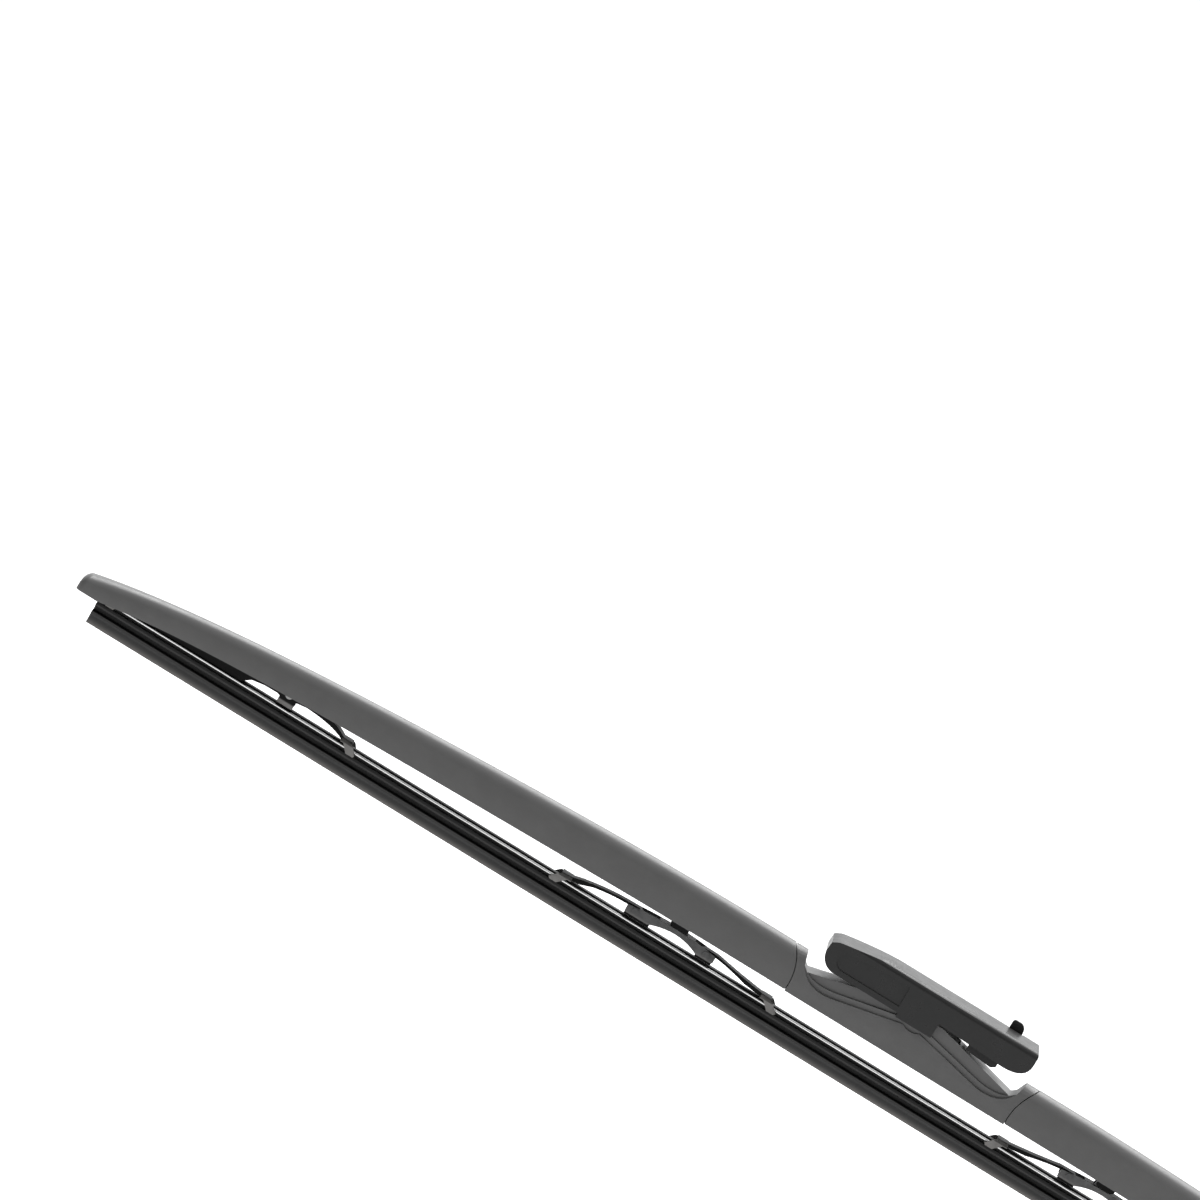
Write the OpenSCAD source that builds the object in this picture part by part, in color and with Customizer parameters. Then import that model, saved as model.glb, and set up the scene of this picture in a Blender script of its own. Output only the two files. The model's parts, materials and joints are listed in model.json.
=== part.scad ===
// Windshield wiper blade with two hinged aerodynamic covers over a steel lever frame.
// +X runs along the blade, -Y is the flat side of the covers, +Z points away from the glass.
// Shapes are drawn with z = 0 at the wiping lip; at_pivot() moves the origin to the arm pivot.

/* [Wiping strip] */
// Length of the rubber strip
strip_l = 610; // [604:1:614]
// Height of the rubber, from lip to head
strip_h = 10.95; // [10.9:0.05:11]
// Width of the rubber head
head_w = 3.6; // [3.4:0.1:3.8]
// Thickness of each stainless flexor
flexor_t = 0.6; // [0.6:0.1:0.8]
// Distance of a flexor's outer edge from the middle of the strip
flexor_y = 4.0; // [3.8:0.05:4]

/* [Covers] */
// Width of the covers and bridge at their lower edge
cover_w = 18; // [17.6:0.1:18.4]
// Width of a cover at its tip
tip_w = 14; // [13.4:0.1:14.6]
// Height of the ridge above the lip
ridge_z = 33.7; // [33.4:0.1:34]
// Height of the lower edge above the lip
hem_z = 18.9; // [18.8:0.05:19]
// Skin thickness
skin = 1.5; // [1.2:0.1:1.6]
// Distance of a cover's tip from the middle of the blade
tip_x = 313.3; // [311:0.5:316]

/* [Bridge and adapter] */
// Height of the arm pivot above the lip
pivot_z = 33.3; // [33.2:0.05:33.4]
// Radius of the arm pivot pin
pivot_r = 2.4; // [2.2:0.05:2.5]
// Radius of the barrel that the arm's hook wraps round
barrel_r = 3.6; // [3.5:0.05:3.8]
// Width of the hook space between the adapter's cheeks
hook_w = 9.4; // [9.2:0.1:9.5]
// Width of the raised middle of the bridge
hump_w = 12.4; // [12.2:0.1:12.6]
// Width of the adapter cap
cap_w = 18.8; // [18.4:0.1:19.4]
// Height of the top of the cap above the lip
cap_z = 45; // [44.8:0.1:45.4]

/* [Levers] */
// Distance of a cover's hinge from the middle of the blade
hinge_x = 62; // [61.5:0.1:62.5]
// Distance of the middle lever's pivot from the middle of the blade
lever_x = 82.2; // [82:0.1:82.6]
// Distance of the outer yoke's pivot from the middle of the blade
yoke_x = 234; // [233:0.5:235]
// Thickness of the stamped levers and yokes
sheet_t = 0.9; // [0.8:0.05:0.95]
// Width of a middle yoke
yoke_w = 4.6; // [4.4:0.1:4.7]
// Radius of the hinge and outer rivets
rivet_r = 1.1; // [1:0.05:1.2]

/* [Hidden] */
$fn = 48;

run_gap = 0.05;            // radial clearance of a turning pin
gap = 0.3;                 // clearance between parts that move past each other
body_gap = 0.02;           // clearance of a pin riveted in its own body

// Colours
black = [0.06, 0.06, 0.065];
grey = [0.27, 0.27, 0.26];
steel = [0.72, 0.73, 0.74];
claw_grey = [0.42, 0.42, 0.41];

// Placing -----------------------------------------------------------------

// Moves the origin from the lip to the arm pivot
module at_pivot() translate([0, 0, -pivot_z]) children();

// Extrudes an X-Z outline across the blade, centred on y = 0
module across(w) rotate([90, 0, 0]) linear_extrude(w, center = true) children();

// Two plates of an X-Z outline, from y0 to y1 on both sides
module plates(y0, y1)
  for (side = [-1, 1])
    translate([0, side * (y0 + y1) / 2, 0]) across(y1 - y0) children();

// Extrudes a Y-Z outline along the blade
module along(x0, x1)
  translate([x0, 0, 0]) rotate([90, 0, 90]) linear_extrude(x1 - x0) children();

// A round bar or hole across the blade
module rod(x, z, r, w) translate([x, 0, z]) rotate([90, 0, 0]) cylinder(r = r, h = w, center = true);

// A rivet: a shank with a head outside each end
module rivet(x, z, r, grip, head) {
  rod(x, z, r, grip);
  for (side = [-1, 1])
    translate([0, side * (grip + head) / 2, 0]) rod(x, z, r * 1.35, head);
}

// Curves ------------------------------------------------------------------

function lerp(a, b, t) = a + (b - a) * t;

function bow(p0, p1, p2, n) =
  [for (i = [0:n]) let (t = i / n) p0 * (1 - t) * (1 - t) + p1 * 2 * t * (1 - t) + p2 * t * t];

function bow4(p0, p1, p2, p3, n) =
  [for (i = [0:n]) let (t = i / n, s = 1 - t)
    p0 * s * s * s + p1 * 3 * s * s * t + p2 * 3 * s * t * t + p3 * t * t * t];

function turned(points) = [for (i = [len(points) - 1:-1:0]) points[i]];

function mirrored(half) = concat(half, [for (p = turned(half)) [-p[0], p[1]]]);

function lifted(points, dz) = [for (p = points) [p[0], p[1] + dz]];

// Covers ------------------------------------------------------------------

ridge_start = 65;          // where the ridge starts to fall towards the tip
hem_start = 70;            // where the lower edge starts to fall
taper_start = 105;         // where the covers start to narrow
tip_round = 2.6;           // radius of the nose
tip_flat = tip_x - tip_round;
ridge_h = 4;               // height of the rounded ridge above the flat face
face_lean = 1.2;           // how far the flat face leans in
face_bulge = 0.12;         // crown of the flat face

// Goes from 0 to 1 between a place and the strip's end, and on to most beyond it
function fall(s, from, most = 1) = max(0, min(most, (s - from) / (strip_l / 2 - from)));

// Drop of the nose's rounding at distance s from the middle
function nose(s) = s < tip_flat ? 0 : tip_round - sqrt(max(0, tip_round * tip_round - pow(s - tip_flat, 2)));

function ridge_at(s) =
  let (t = fall(s, ridge_start, 1.1)) ridge_z - 13 * pow(t, 1.65) - 4.2 * pow(t, 7) - nose(s);

function hem_at(s) = let (t = fall(s, hem_start)) hem_z - 5 * pow(t, 1.4) - 4.85 * pow(t, 7);

// Cross-section of a cover: flat front face, rounded ridge, hollow slope behind.
// w is the half width, taper goes from 0 at the bridge to 1 at the tip.
function section(w, hem, top, taper) =
  let (
    h = top - hem,
    crown = min(ridge_h, 0.35 * h),
    lean = face_lean * h / 15.5,
    ridge_y = -0.26 * w,
    back_z = hem + lerp(0.36, 0.62, taper) * h,
    span = w - ridge_y,
    slope_1 = [ridge_y + lerp(0.26, 0.5, taper) * span, top],
    slope_2 = [ridge_y + lerp(0.34, 1, taper) * span, lerp(back_z + 0.12 * (top - back_z), top, taper)]
  )
  concat(
    [[-w, hem]],
    [for (t = [0.42, 0.6, 0.8]) [-w + lean * t - 4 * face_bulge * t * (1 - t), hem + (h - crown) * t]],
    bow([-w + lean, top - crown], [-w + lean + 0.9, top - 0.3], [ridge_y, top], 6),
    [for (i = [1:9]) bow4([ridge_y, top], slope_1, slope_2, [w, back_z], 9)[i]],
    [[w + face_bulge / 2, (hem + back_z) / 2], [w, hem]]);

seam_r = 19.2;             // radius of the seam about the cover's hinge
seam_gap = 0.3;
hinge_z = 20.9;            // height of the cover's hinge
stations = 30;

// Distance of station i from the middle; the first one is replaced by the seam's arc
function station(i) =
  i <= stations ? lerp(50, tip_flat, i / stations) : tip_flat + tip_round * sin(22.4 * (i - stations));
last = stations + 4;

function taper_at(s) = pow(fall(s, taper_start), 2);
function half_at(s) = lerp(cover_w, tip_w, taper_at(s)) / 2 - 0.8 * nose(s);

function skin_ring(i, inset) =
  let (s = station(i) - (inset > 0 && i == skin_end ? skin / 2 : 0))
  [for (p = section(half_at(s) - inset, hem_at(s) - inset, ridge_at(s) - inset, taper_at(s)))
    let (z = max(p[1], hem_at(s)), seam = hinge_x - sqrt(seam_r * seam_r - pow(z - hinge_z, 2)))
    [-(i == 0 ? seam : s), p[0], z]];

ring_n = len(section(cover_w / 2, hem_z, ridge_z, 0));
skin_end = stations;       // station where the hollow ends, behind the nose

// Quads between ring a and ring b of n points; flip turns them inside out
function band(a, b, n, flip) =
  [for (k = [0:n - 2])
    flip ? [a + k + 1, b + k + 1, b + k, a + k] : [a + k, b + k, b + k + 1, a + k + 1]];

// The left cover: outer rings from seam to nose, then inner rings, joined along the hems
module cover_shape() {
  inner0 = (last + 1) * ring_n;
  points = concat(
    [for (i = [0:last], p = skin_ring(i, 0)) p],
    [for (i = [0:skin_end], p = skin_ring(i, skin)) p]);
  tail = inner0 + skin_end * ring_n;
  sides = [for (i = [0:last - 1], q = band(i * ring_n, (i + 1) * ring_n, ring_n, false)) q];
  inside = [for (i = [0:skin_end - 1], q = band(inner0 + i * ring_n, inner0 + (i + 1) * ring_n, ring_n, true)) q];
  front_hem = [for (i = [0:skin_end - 1])
    [inner0 + i * ring_n, inner0 + (i + 1) * ring_n, (i + 1) * ring_n, i * ring_n]];
  back_hem = [for (i = [0:skin_end - 1])
    let (o = i * ring_n + ring_n - 1, n = inner0 + i * ring_n + ring_n - 1)
    [o, o + ring_n, n + ring_n, n]];
  seam_face = band(0, inner0, ring_n, true);
  nose_face = [[for (k = [ring_n - 1:-1:0]) last * ring_n + k]];
  hollow_end = [[for (k = [0:ring_n - 1]) tail + k]];
  nose_floor = [concat(
    [tail, tail + ring_n - 1],
    [for (i = [skin_end:last]) i * ring_n + ring_n - 1],
    [for (i = [last:-1:skin_end]) i * ring_n])];
  polyhedron(points,
    concat(sides, inside, front_hem, back_hem, seam_face, nose_face, hollow_end, nose_floor));
}

// Bridge ------------------------------------------------------------------

bridge_hem = 18.5;
hump = hump_w / 2;
ear_in = hook_w / 2 + 0.65;
horn_in = 41.2;            // inner side of the horns
room_x = 36.2;             // half length of the room between the walls
horn_top = 42.6;
ledge_x = 33;              // where the ledge starts to curve up into the horn
ledge_low = 23.3;
ledge_high = 29.5;
ledge_step = 2.1;          // height of the inner ledge above the outer one
ledge_mid = 7.2;           // distance of the step between them from the middle
slot_x = [-11, 17];        // ends of the opening in the top of the hump
tongue_w = 5.8;
tongue_z = 19.2;
hump_t = 1.4;              // thickness of the hump's top

// Right half of the ledge line, from the middle notch to the horn's top
function ledge(dz) = concat(
  [[0, ledge_high - 0.9 + dz], [1.6, ledge_high - 0.8 + dz], [3.2, ledge_high + dz]],
  bow([ledge_x - 5, ledge_low + 0.9 + dz], [ledge_x + 4.6, ledge_low - 0.7 + dz], [horn_in, ledge_low + 5.9], 8),
  [[horn_top, 33.6], [horn_top + 0.3, 38]]);

// Everything above the ledge line, between the horns
module above_ledge(dz) polygon(mirrored(turned(ledge(dz))));

// Side outline of the raised middle, drawn in by t
module hump_outline(t) {
  polygon([for (p = [[-41.2, 19], [-41.2, 26.9], [-9, 34.9], [9, 34.9], [41.2, 26.9], [41.2, 19]])
    [p[0] - t * sign(p[0]), p[1] - t]]);
  translate([0, pivot_z]) circle(r = 3.9 - t);
}

module bridge_body() {
  profile = section(cover_w / 2, bridge_hem, ridge_z - 0.1, 0);
  hollow = section(cover_w / 2 - 2.4, bridge_hem - 1.7, ridge_z - 2.9, 0);
  difference() {
    along(-48.5, 48.5) polygon(profile);
    plates(ledge_mid, cover_w) above_ledge(0);
    across(2 * ledge_mid) above_ledge(ledge_step);
    for (side = [-1, 1])
      rod(side * hinge_x, hinge_z, seam_r + seam_gap, 2 * cover_w);
    intersection() {
      along(-50, 50) polygon(hollow);
      across(2 * cover_w) polygon(concat([[-50, 17], [-50, 32.5]], lifted(turned(whole_ledge()), -2),
        [[50, 32.5], [50, 17]]));
    }
  }
}

// Lips that reach under the covers, so that nothing shows through the seams
lip_t = 1;
lip_reach = 3.5;
module seam_lips() {
  inset = skin + gap;
  for (side = [-1, 1])
    mirror([side > 0 ? 1 : 0, 0, 0])
      intersection() {
        difference() {
          rod(-hinge_x, hinge_z, seam_r + 1.5, 2 * cover_w);
          rod(-hinge_x, hinge_z, seam_r - lip_reach, 2 * cover_w);
        }
        difference() {
          along(-hinge_x, -hinge_x + seam_r + 2)
            polygon(section(cover_w / 2 - inset, hem_z - inset, ridge_z - inset - 0.5, 0));
          along(-hinge_x - 1, -hinge_x + seam_r + 3)
            polygon(section(cover_w / 2 - inset - lip_t, hem_z - inset - lip_t, ridge_z - inset - 0.5 - lip_t, 0));
        }
        translate([-hinge_x, -cover_w / 2, hem_z]) cube([seam_r + 2, cover_w, ridge_z]);
      }
}

// The whole ledge line from right to left
function whole_ledge() = mirrored(turned([for (p = ledge(0)) if (p[1] < 34) p]));

// Tongues that reach into the covers and carry their hinges
module tongues() {
  for (side = [-1, 1])
    mirror([side > 0 ? 1 : 0, 0, 0]) {
      across(tongue_w) polygon([[-hinge_x, tongue_z], [-36, tongue_z], [-36, tongue_z + 3.8],
        [-hinge_x, tongue_z + 3.8]]);
      intersection() {
        rod(-hinge_x, hinge_z, 2.8, tongue_w);
        translate([-hinge_x - 5, -10, tongue_z]) cube([10, 20, 10]);
      }
      // bulkhead between the bridge's walls
      translate([-37.6, -cover_w / 2 + 1.9, tongue_z]) cube([1.6, cover_w - 3.8, 3.8]);
    }
}

module bridge() at_pivot() color(grey) difference() {
  union() {
    bridge_body();
    seam_lips();
    difference() {
      across(hump_w) hump_outline(0);
      across(2 * ear_in) hump_outline(hump_t);
      translate([slot_x[0], -ear_in, 30]) cube([slot_x[1] - slot_x[0], 2 * ear_in, 10]);
    }
    tongues();
  }
  rod(0, pivot_z, pivot_r, 2 * hump_w);
  for (side = [-1, 1])
    rod(side * hinge_x, hinge_z, rivet_r + run_gap, cover_w);
  // room between the walls for the hook, open below
  intersection() {
    across(2 * ear_in) hump_outline(hump_t);
    translate([-room_x, -ear_in, 0]) cube([2 * room_x, 2 * ear_in, pivot_z + 10]);
  }
}

module pivot_pin() at_pivot() color(steel) rod(0, pivot_z, pivot_r - body_gap, hump_w + 0.4);

// Adapter -----------------------------------------------------------------

cap_axis = [-31.9, 38.1];  // hinge of the cap
nose_r = 6;
boss_r = 2.4;              // the base's hinge boss
rail = [5.4, 7.3];         // inner and outer side of the base's rails
rail_z = [37.7, 41.9];
cheek = [hook_w / 2, ear_in - 0.2];
cap_in = 7.6;
cap_pin_r = 1.15;
cap_pin_w = 17;

module adapter_base() at_pivot() color(black) difference() {
  union() {
    plates(rail[0], rail[1]) polygon([[cap_axis[0], rail_z[0]], [33, rail_z[0]], [34, rail_z[0] + 1],
      [34, rail_z[1] - 1], [33, rail_z[1]], [-20, rail_z[1]], [-24, rail_z[1] - 0.3],
      cap_axis + [0, boss_r - 0.2]]);
    across(2 * rail[1]) translate(cap_axis) circle(r = boss_r);
    plates(rail[1] - 0.8, rail[1]) polygon([[19, 38], [19, 33.1], [29, 32.3], [30.5, 33.3], [30.5, 38]]);
    translate([30, -rail[1], 35.4]) cube([4, 2 * rail[1], 1.6]);
    plates(rail[0], rail[1]) polygon([[30, 35.4], [34, 35.4], [34, 39], [30, 39]]);
    plates(cheek[0], cheek[1]) {
      translate([0, pivot_z]) circle(r = 5.2);
      polygon([[-5.2, pivot_z], [5.2, pivot_z], [5.2, rail_z[1]], [-5.2, rail_z[1]]]);
    }
    plates(cheek[0], rail[0] + 0.2) polygon([[-5.2, rail_z[0]], [5.2, rail_z[0]], [5.2, rail_z[1]], [-5.2, rail_z[1]]]);
    rod(0, pivot_z, barrel_r, hook_w + 0.2);
  }
  rod(0, pivot_z, pivot_r - body_gap + run_gap, hump_w);
  rod(cap_axis[0], cap_axis[1], cap_pin_r + body_gap, 2 * cap_w);
}

module cap_hinge_pin() at_pivot() color(steel) rod(cap_axis[0], cap_axis[1], cap_pin_r, cap_pin_w);

skirt_x = 6.8;             // half width of the cap's skirt over the pivot
skirt_z = 30.6;
left_z = cap_axis[1] - nose_r;
right_z = 36;
cap_end = 40.8;
cap_wall = 1.8;

// Side outline of the cap, drawn in by t on its top and ends
function cap_line(t) = concat(
  [[-skirt_x, left_z], [-skirt_x, skirt_z], [skirt_x, skirt_z], [skirt_x, right_z]],
  bow([32.5, right_z - 1.1], [cap_end - t, right_z - 0.9], [cap_end - t, 40.6], 8),
  bow([cap_end - t, cap_z - 1.6 - t], [cap_end - t, cap_z - t], [cap_end - 1.6 - t, cap_z - t], 4),
  bow([-11, cap_z - t], [-18, cap_z - t], [-34 + t / 2, cap_z - 2.6 - t], 8),
  bow([-35.4 + t, cap_z - 2.9 - t], [-37.2 + t, cap_z - 3.8 - t], [-37.7 + t, 40.8 - t / 3], 6),
  [for (a = [170:5:270]) cap_axis + (nose_r - t) * [cos(a), sin(a)]]);

// Rounded cross-section of the cap
module cap_profile() {
  round_r = 2.2;
  translate([-cap_w / 2, 20]) square([cap_w, cap_z - 20 - round_r]);
  translate([-cap_w / 2 + round_r, 20]) square([cap_w - 2 * round_r, cap_z - 20]);
  for (side = [-1, 1])
    translate([side * (cap_w / 2 - round_r), cap_z - round_r]) circle(r = round_r);
}

tab_x = 31;                // place of the release tab
tab_l = 5;
tab_z = 41;                // its pivot
tab_y = [7.95, 9.25];
tab_foot = 36.5;
tab_top = 48;
trunnion_r = 0.8;

module adapter_cap() at_pivot() color(black) difference() {
  intersection() {
    across(cap_w) polygon(cap_line(0));
    along(-50, 50) cap_profile();
  }
  // the hollow: the outline drawn in, and open below
  across(2 * cap_in) union() {
    polygon(cap_line(cap_wall));
    polygon([cap_axis, [cap_axis[0], skirt_z - 2], [cap_end - 6, skirt_z - 2], [cap_end - cap_wall, cap_axis[1] + 2]]);
  }
  // the nose's wall stops short underneath, so that it clears the base as the cap opens
  across(2 * cap_in) polygon([cap_axis, cap_axis + [-3.5, -12], cap_axis + [2, -12]]);
  // exit for the wiper arm
  translate([cap_end - 6, -5.2, 30]) cube([10, 10.4, 12.2]);
  // plain recesses in the sides
  for (side = [-1, 1])
    translate([0, side * cap_w / 2, 0]) across(1.2) {
      translate([-30, 37.3]) circle(r = 3.2);
      polygon([[-30, 34.1], [-7.6, 34.1], [-7.6, 41.5], [-16, 41.5], [-30, 40.5]]);
    }
  rod(cap_axis[0], cap_axis[1], cap_pin_r + run_gap, cap_pin_w + 0.1);
  // slot and sockets of the release tab
  translate([tab_x - tab_l / 2 - gap, cap_in - 1.2, 30]) cube([tab_l + 2 * gap, 4, 20]);
  translate([tab_x, (tab_y[0] + tab_y[1]) / 2, tab_z]) rotate([0, 90, 0])
    cylinder(r = trunnion_r + run_gap, h = tab_l + 3.4, center = true);
}

module release_tab() at_pivot() color(black) difference() {
  union() {
    translate([0, (tab_y[0] + tab_y[1]) / 2, 0]) across(tab_y[1] - tab_y[0]) polygon(concat(
      [[tab_x - tab_l / 2, tab_foot], [tab_x + tab_l / 2, tab_foot]],
      bow([tab_x + tab_l / 2, tab_top - 3.4], [tab_x + tab_l / 2, tab_top - 0.6], [tab_x + 0.6, tab_top], 6),
      bow([tab_x - tab_l / 2 + 1.2, tab_top], [tab_x - tab_l / 2, tab_top], [tab_x - tab_l / 2, tab_top - 1.2], 4)));
    translate([tab_x, (tab_y[0] + tab_y[1]) / 2, tab_z]) rotate([0, 90, 0])
      cylinder(r = trunnion_r, h = tab_l + 3, center = true);
  }
  // grip grooves across the outer side of the tab
  for (i = [0:2])
    translate([tab_x - 4, tab_y[1] - 0.2, tab_top - 2.6 + 0.8 * i]) cube([8, 1, 0.3]);
}

// Wiping strip --------------------------------------------------------------

slot_z = 9.8;              // lower side of the flexor slots
slot_h = flexor_t + 0.1;
slot_y = 1;                // depth of the slots, measured from the middle

// Half of the cross-section: lip, wedge, neck, ribs, flexor slot and head
rubber_half = [
  [0.35, 0], [0.5, 1.1], [1.5, 3.2], [2.5, 4.2], [2.6, 4.9], [0.6, 5.3], [0.6, 6.5], [2.8, 6.8],
  [3.3, 7.2], [3.3, 8.5], [2.5, 8.8], [2.5, 9], [3.2, 9.3], [3.2, slot_z], [slot_y, slot_z],
  [slot_y, slot_z + slot_h], [head_w / 2, slot_z + slot_h], [head_w / 2, strip_h - 0.2],
  [head_w / 2 - 0.2, strip_h]];

module rubber_blade() at_pivot() color(black) along(-strip_l / 2, strip_l / 2) polygon(mirrored(rubber_half));

module flexor(side) at_pivot() color(steel)
  translate([-strip_l / 2 + 1, side > 0 ? slot_y + 0.05 : -flexor_y, slot_z + 0.05])
    cube([strip_l - 2, flexor_y - slot_y - 0.05, flexor_t]);

module flexor_front() flexor(-1);
module flexor_back() flexor(1);

// Yokes, drawn for the left half ---------------------------------------------

claw_y = [4.25, 5];        // inner and outer side of a claw's plates
claw_top = 12.7;
claw_foot = 8.7;
hook_top = slot_z - 0.1;   // hooks end just below the flexors
web_z = strip_h + 0.45;    // lower side of what passes over the strip

// A claw round the strip: a web over the head, side plates that lean away, hooks under the flexors
module claw(x, lean, foot) {
  intersection() {
    union() {
      across(2 * claw_y[1]) polygon([[x - 2, web_z], [x + 2, web_z], [x + 2, claw_top], [x - 2, claw_top]]);
      plates(claw_y[0], claw_y[1])
        polygon([[x - 2, claw_top], [x + 2, claw_top], [x + 1.9 + lean, foot + 0.5],
          [x + 1.5 + lean, foot], [x - 1.2 + lean, foot], [x - 1.8 + lean, foot + 0.7]]);
    }
    along(x - 9, x + 9) polygon(mirrored([[claw_y[1], foot - 1], [claw_y[1], web_z + 0.2], [3.4, claw_top],
      [0, claw_top + 0.01]]));
  }
  plates(claw_y[0] - 0.7, claw_y[0] + 0.1)
    polygon([[x + lean - 1.4, foot + 0.1], [x + lean + 1.5, foot + 0.1],
      [x + lean * 0.82 + 1.6, hook_top], [x + lean * 0.82 - 1.5, hook_top]]);
}

// A stamped channel of width w: side walls of the outline, and a web under its top edge
module channel(w, bottom, top) {
  inner = w / 2 - sheet_t;
  difference() {
    across(w) polygon(concat(bottom, turned(top)));
    across(2 * inner) polygon(concat([for (p = bottom) p - [0, 4]], turned(lifted(top, -sheet_t))));
  }
}

yoke_z = 15.7;             // height of the outer yoke's pivot
tip_claw_x = 300;
root_claw_x = 209.8;
outer_w = 5.7;             // its walls stand beside the strip's head
wall_z = 10.8;             // and end above the flexors

module outer_yoke_shape() {
  bottom = concat([[-tip_claw_x + 1, web_z], [-tip_claw_x + 6, web_z], [-tip_claw_x + 6.5, wall_z],
    [-250.5, wall_z], [-247.5, 13], [-243, 13.7], [-238, 13.8], [-236.2, 13.2],
    [-231.8, 13.2], [-230.6, 14.1]], bow([-227, 14.6], [-216, 14.2], [-root_claw_x - 1.5, web_z], 6));
  top = concat([[-tip_claw_x + 1, claw_top]], bow([-280, 14.4], [-250, 17.4], [-yoke_x - 2, 17.8], 6),
    bow([-yoke_x + 2, 17.8], [-217, 16.6], [-root_claw_x - 1.5, claw_top], 8));
  difference() {
    union() {
      channel(outer_w, bottom, top);
      claw(-tip_claw_x, -0.6, claw_foot + 0.3);
      claw(-root_claw_x, 2.8, claw_foot);
    }
    rod(-yoke_x, yoke_z, rivet_r + run_gap, 20);
  }
}

lever_a = 98.5;            // pivots of the two middle yokes, measured from the middle of the blade
lever_b = 70.8;
lever_z = 13.9;
lever_pin_r = 0.9;
fork = [2.6, 3.5];       // inner and outer side of the lever's side plates

// A middle yoke with its pivot at x = 0, its claw at x = -reach and its pad at x > 0.
// dip lowers the middle of its arm, which straightens it.
module mid_yoke_shape(reach, pad, dip) difference() {
  union() {
    channel(yoke_w,
      concat([[-reach + 1.8, web_z], [-reach + 5, web_z + 0.3]],
        bow([-16, 13.3 - dip], [-9, 14.6 - dip / 2], [-3.2, 14.6], 5), [[-3, web_z], [pad, web_z]]),
      concat([[-reach + 1.8, claw_top]], bow([-20, 13.6 - dip / 2], [-11, 15.3 - dip], [-4, 15.5], 5),
        [[1, 15.6], [2.6, 15], [4, 13], [pad, 12.6]]));
    claw(-reach, -3.6, claw_foot);
  }
  rod(0, lever_z, lever_pin_r + run_gap, 20);
}

// The bow-shaped lever that carries the two middle yokes
mid_z = 19.6;              // height of its own pivot
module mid_lever_shape() difference() {
  union() {
    plates(fork[0], fork[1]) polygon(concat(
      bow([-93, 12.3], [-82.8, 16.5], [-74, 12.3], 10),
      [[-67.9, 12.3], [-67.5, 12.7], [-67.5, 14.7]],
      turned(bow([-101.6, 15], [-83, 17.1], [-67.8, 15], 10)),
      [[-101.6, 12.7], [-101.2, 12.3]]));
    across(fork[0] + fork[1]) polygon([[-90, 14.9], [-76, 14.9], [-76, 15.8], [-82, 16], [-90, 15.9]]);
    plates(ear[0], ear[1]) {
      translate([-lever_x, mid_z]) circle(r = 1.95);
      polygon([[-lever_x - 1.95, mid_z], [-lever_x - 3, 15.6], [-lever_x + 3, 15.6], [-lever_x + 1.95, mid_z]]);
    }
  }
  rod(-lever_x, mid_z, rivet_r + run_gap, 20);
  for (x = [lever_a, lever_b])
    rod(-x, lever_z, lever_pin_r + body_gap, 20);
}

// The steel channel inside a cover, from its hinge to the outer yoke
flange = [3.3, 4.3];

// Top edge of the channel, from its hinge to its far end
carrier_top = [[-58.9, 23], [-100, 22.8], [-150, 21.6], [-205, 19.1], [-235.5, 18.2]];

// Its web, which stops short of the outer yoke
function web_line(dz) = [for (x = [-72, -100, -150, -205, -212]) [x, lookup(x, carrier_top) + dz]];

module carrier_shape() difference() {
  union() {
    plates(flange[0], flange[1]) polygon(concat(
      [[-58.9, 19.5], [-79.4, 19.3], [-79.8, 16.9], [-80.4, 16.5], [-85.8, 16.5], [-86.4, 17], [-86.8, 19.2],
        [-150, 18.7], [-205, 17.5], [-230.9, 16.6], [-230.9, 11.8], [-231.2, 11.5], [-236.6, 11.5],
        [-236.9, 11.8], [-236.9, 17.6]], turned(carrier_top)));
    across(flange[0] + flange[1]) polygon(concat(web_line(-1), turned(web_line(0))));
  }
  rod(-hinge_x, hinge_z, rivet_r + body_gap, 20);
  rod(-lever_x, mid_z, rivet_r + body_gap, 20);
  rod(-yoke_x, yoke_z, rivet_r + body_gap, 20);
}

// Saddles that hold a cover on its carrier: each grips the flanges and reaches up to the skin
clip_places = [108, 152, 192];
module cover_clips_shape()
  for (s = clip_places) {
    z = lookup(-s, carrier_top);
    difference() {
      along(-s - 3, -s + 3)
        polygon([[-5.3, z - 3.4], [-5.3, z + 1], [-3, z + 1.6], [-2.6, ridge_at(s) - skin - 1.6],
          [-1, ridge_at(s) - skin - 1.6], [-0.4, z + 2], [3.6, z + 0.6], [4.8, z + 0.4], [5.2, z - 0.2],
          [5.2, z - 3.4]]);
      along(-s - 5, -s + 5) polygon([[-4.4, z - 6], [-4.4, z + 0.2], [4.4, z + 0.2], [4.4, z - 6]]);
    }
  }

ear = [1.75, 2.65];         // inner and outer side of the middle lever's ears

// Washers between the flanges and what turns there; p holds the pivot and the washer's inner side
module washers_shape()
  for (p = [[yoke_x, yoke_z, outer_w / 2 + run_gap], [lever_x, mid_z, ear[1] + run_gap]])
    difference() {
      plates(p[2], flange[0] - run_gap) translate([-p[0], p[1]]) circle(r = 1.9);
      rod(-p[0], p[1], rivet_r + body_gap, 20);
    }

// Left and right halves -------------------------------------------------------

module half(side) at_pivot() mirror([side > 0 ? 1 : 0, 0, 0]) children();

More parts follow.
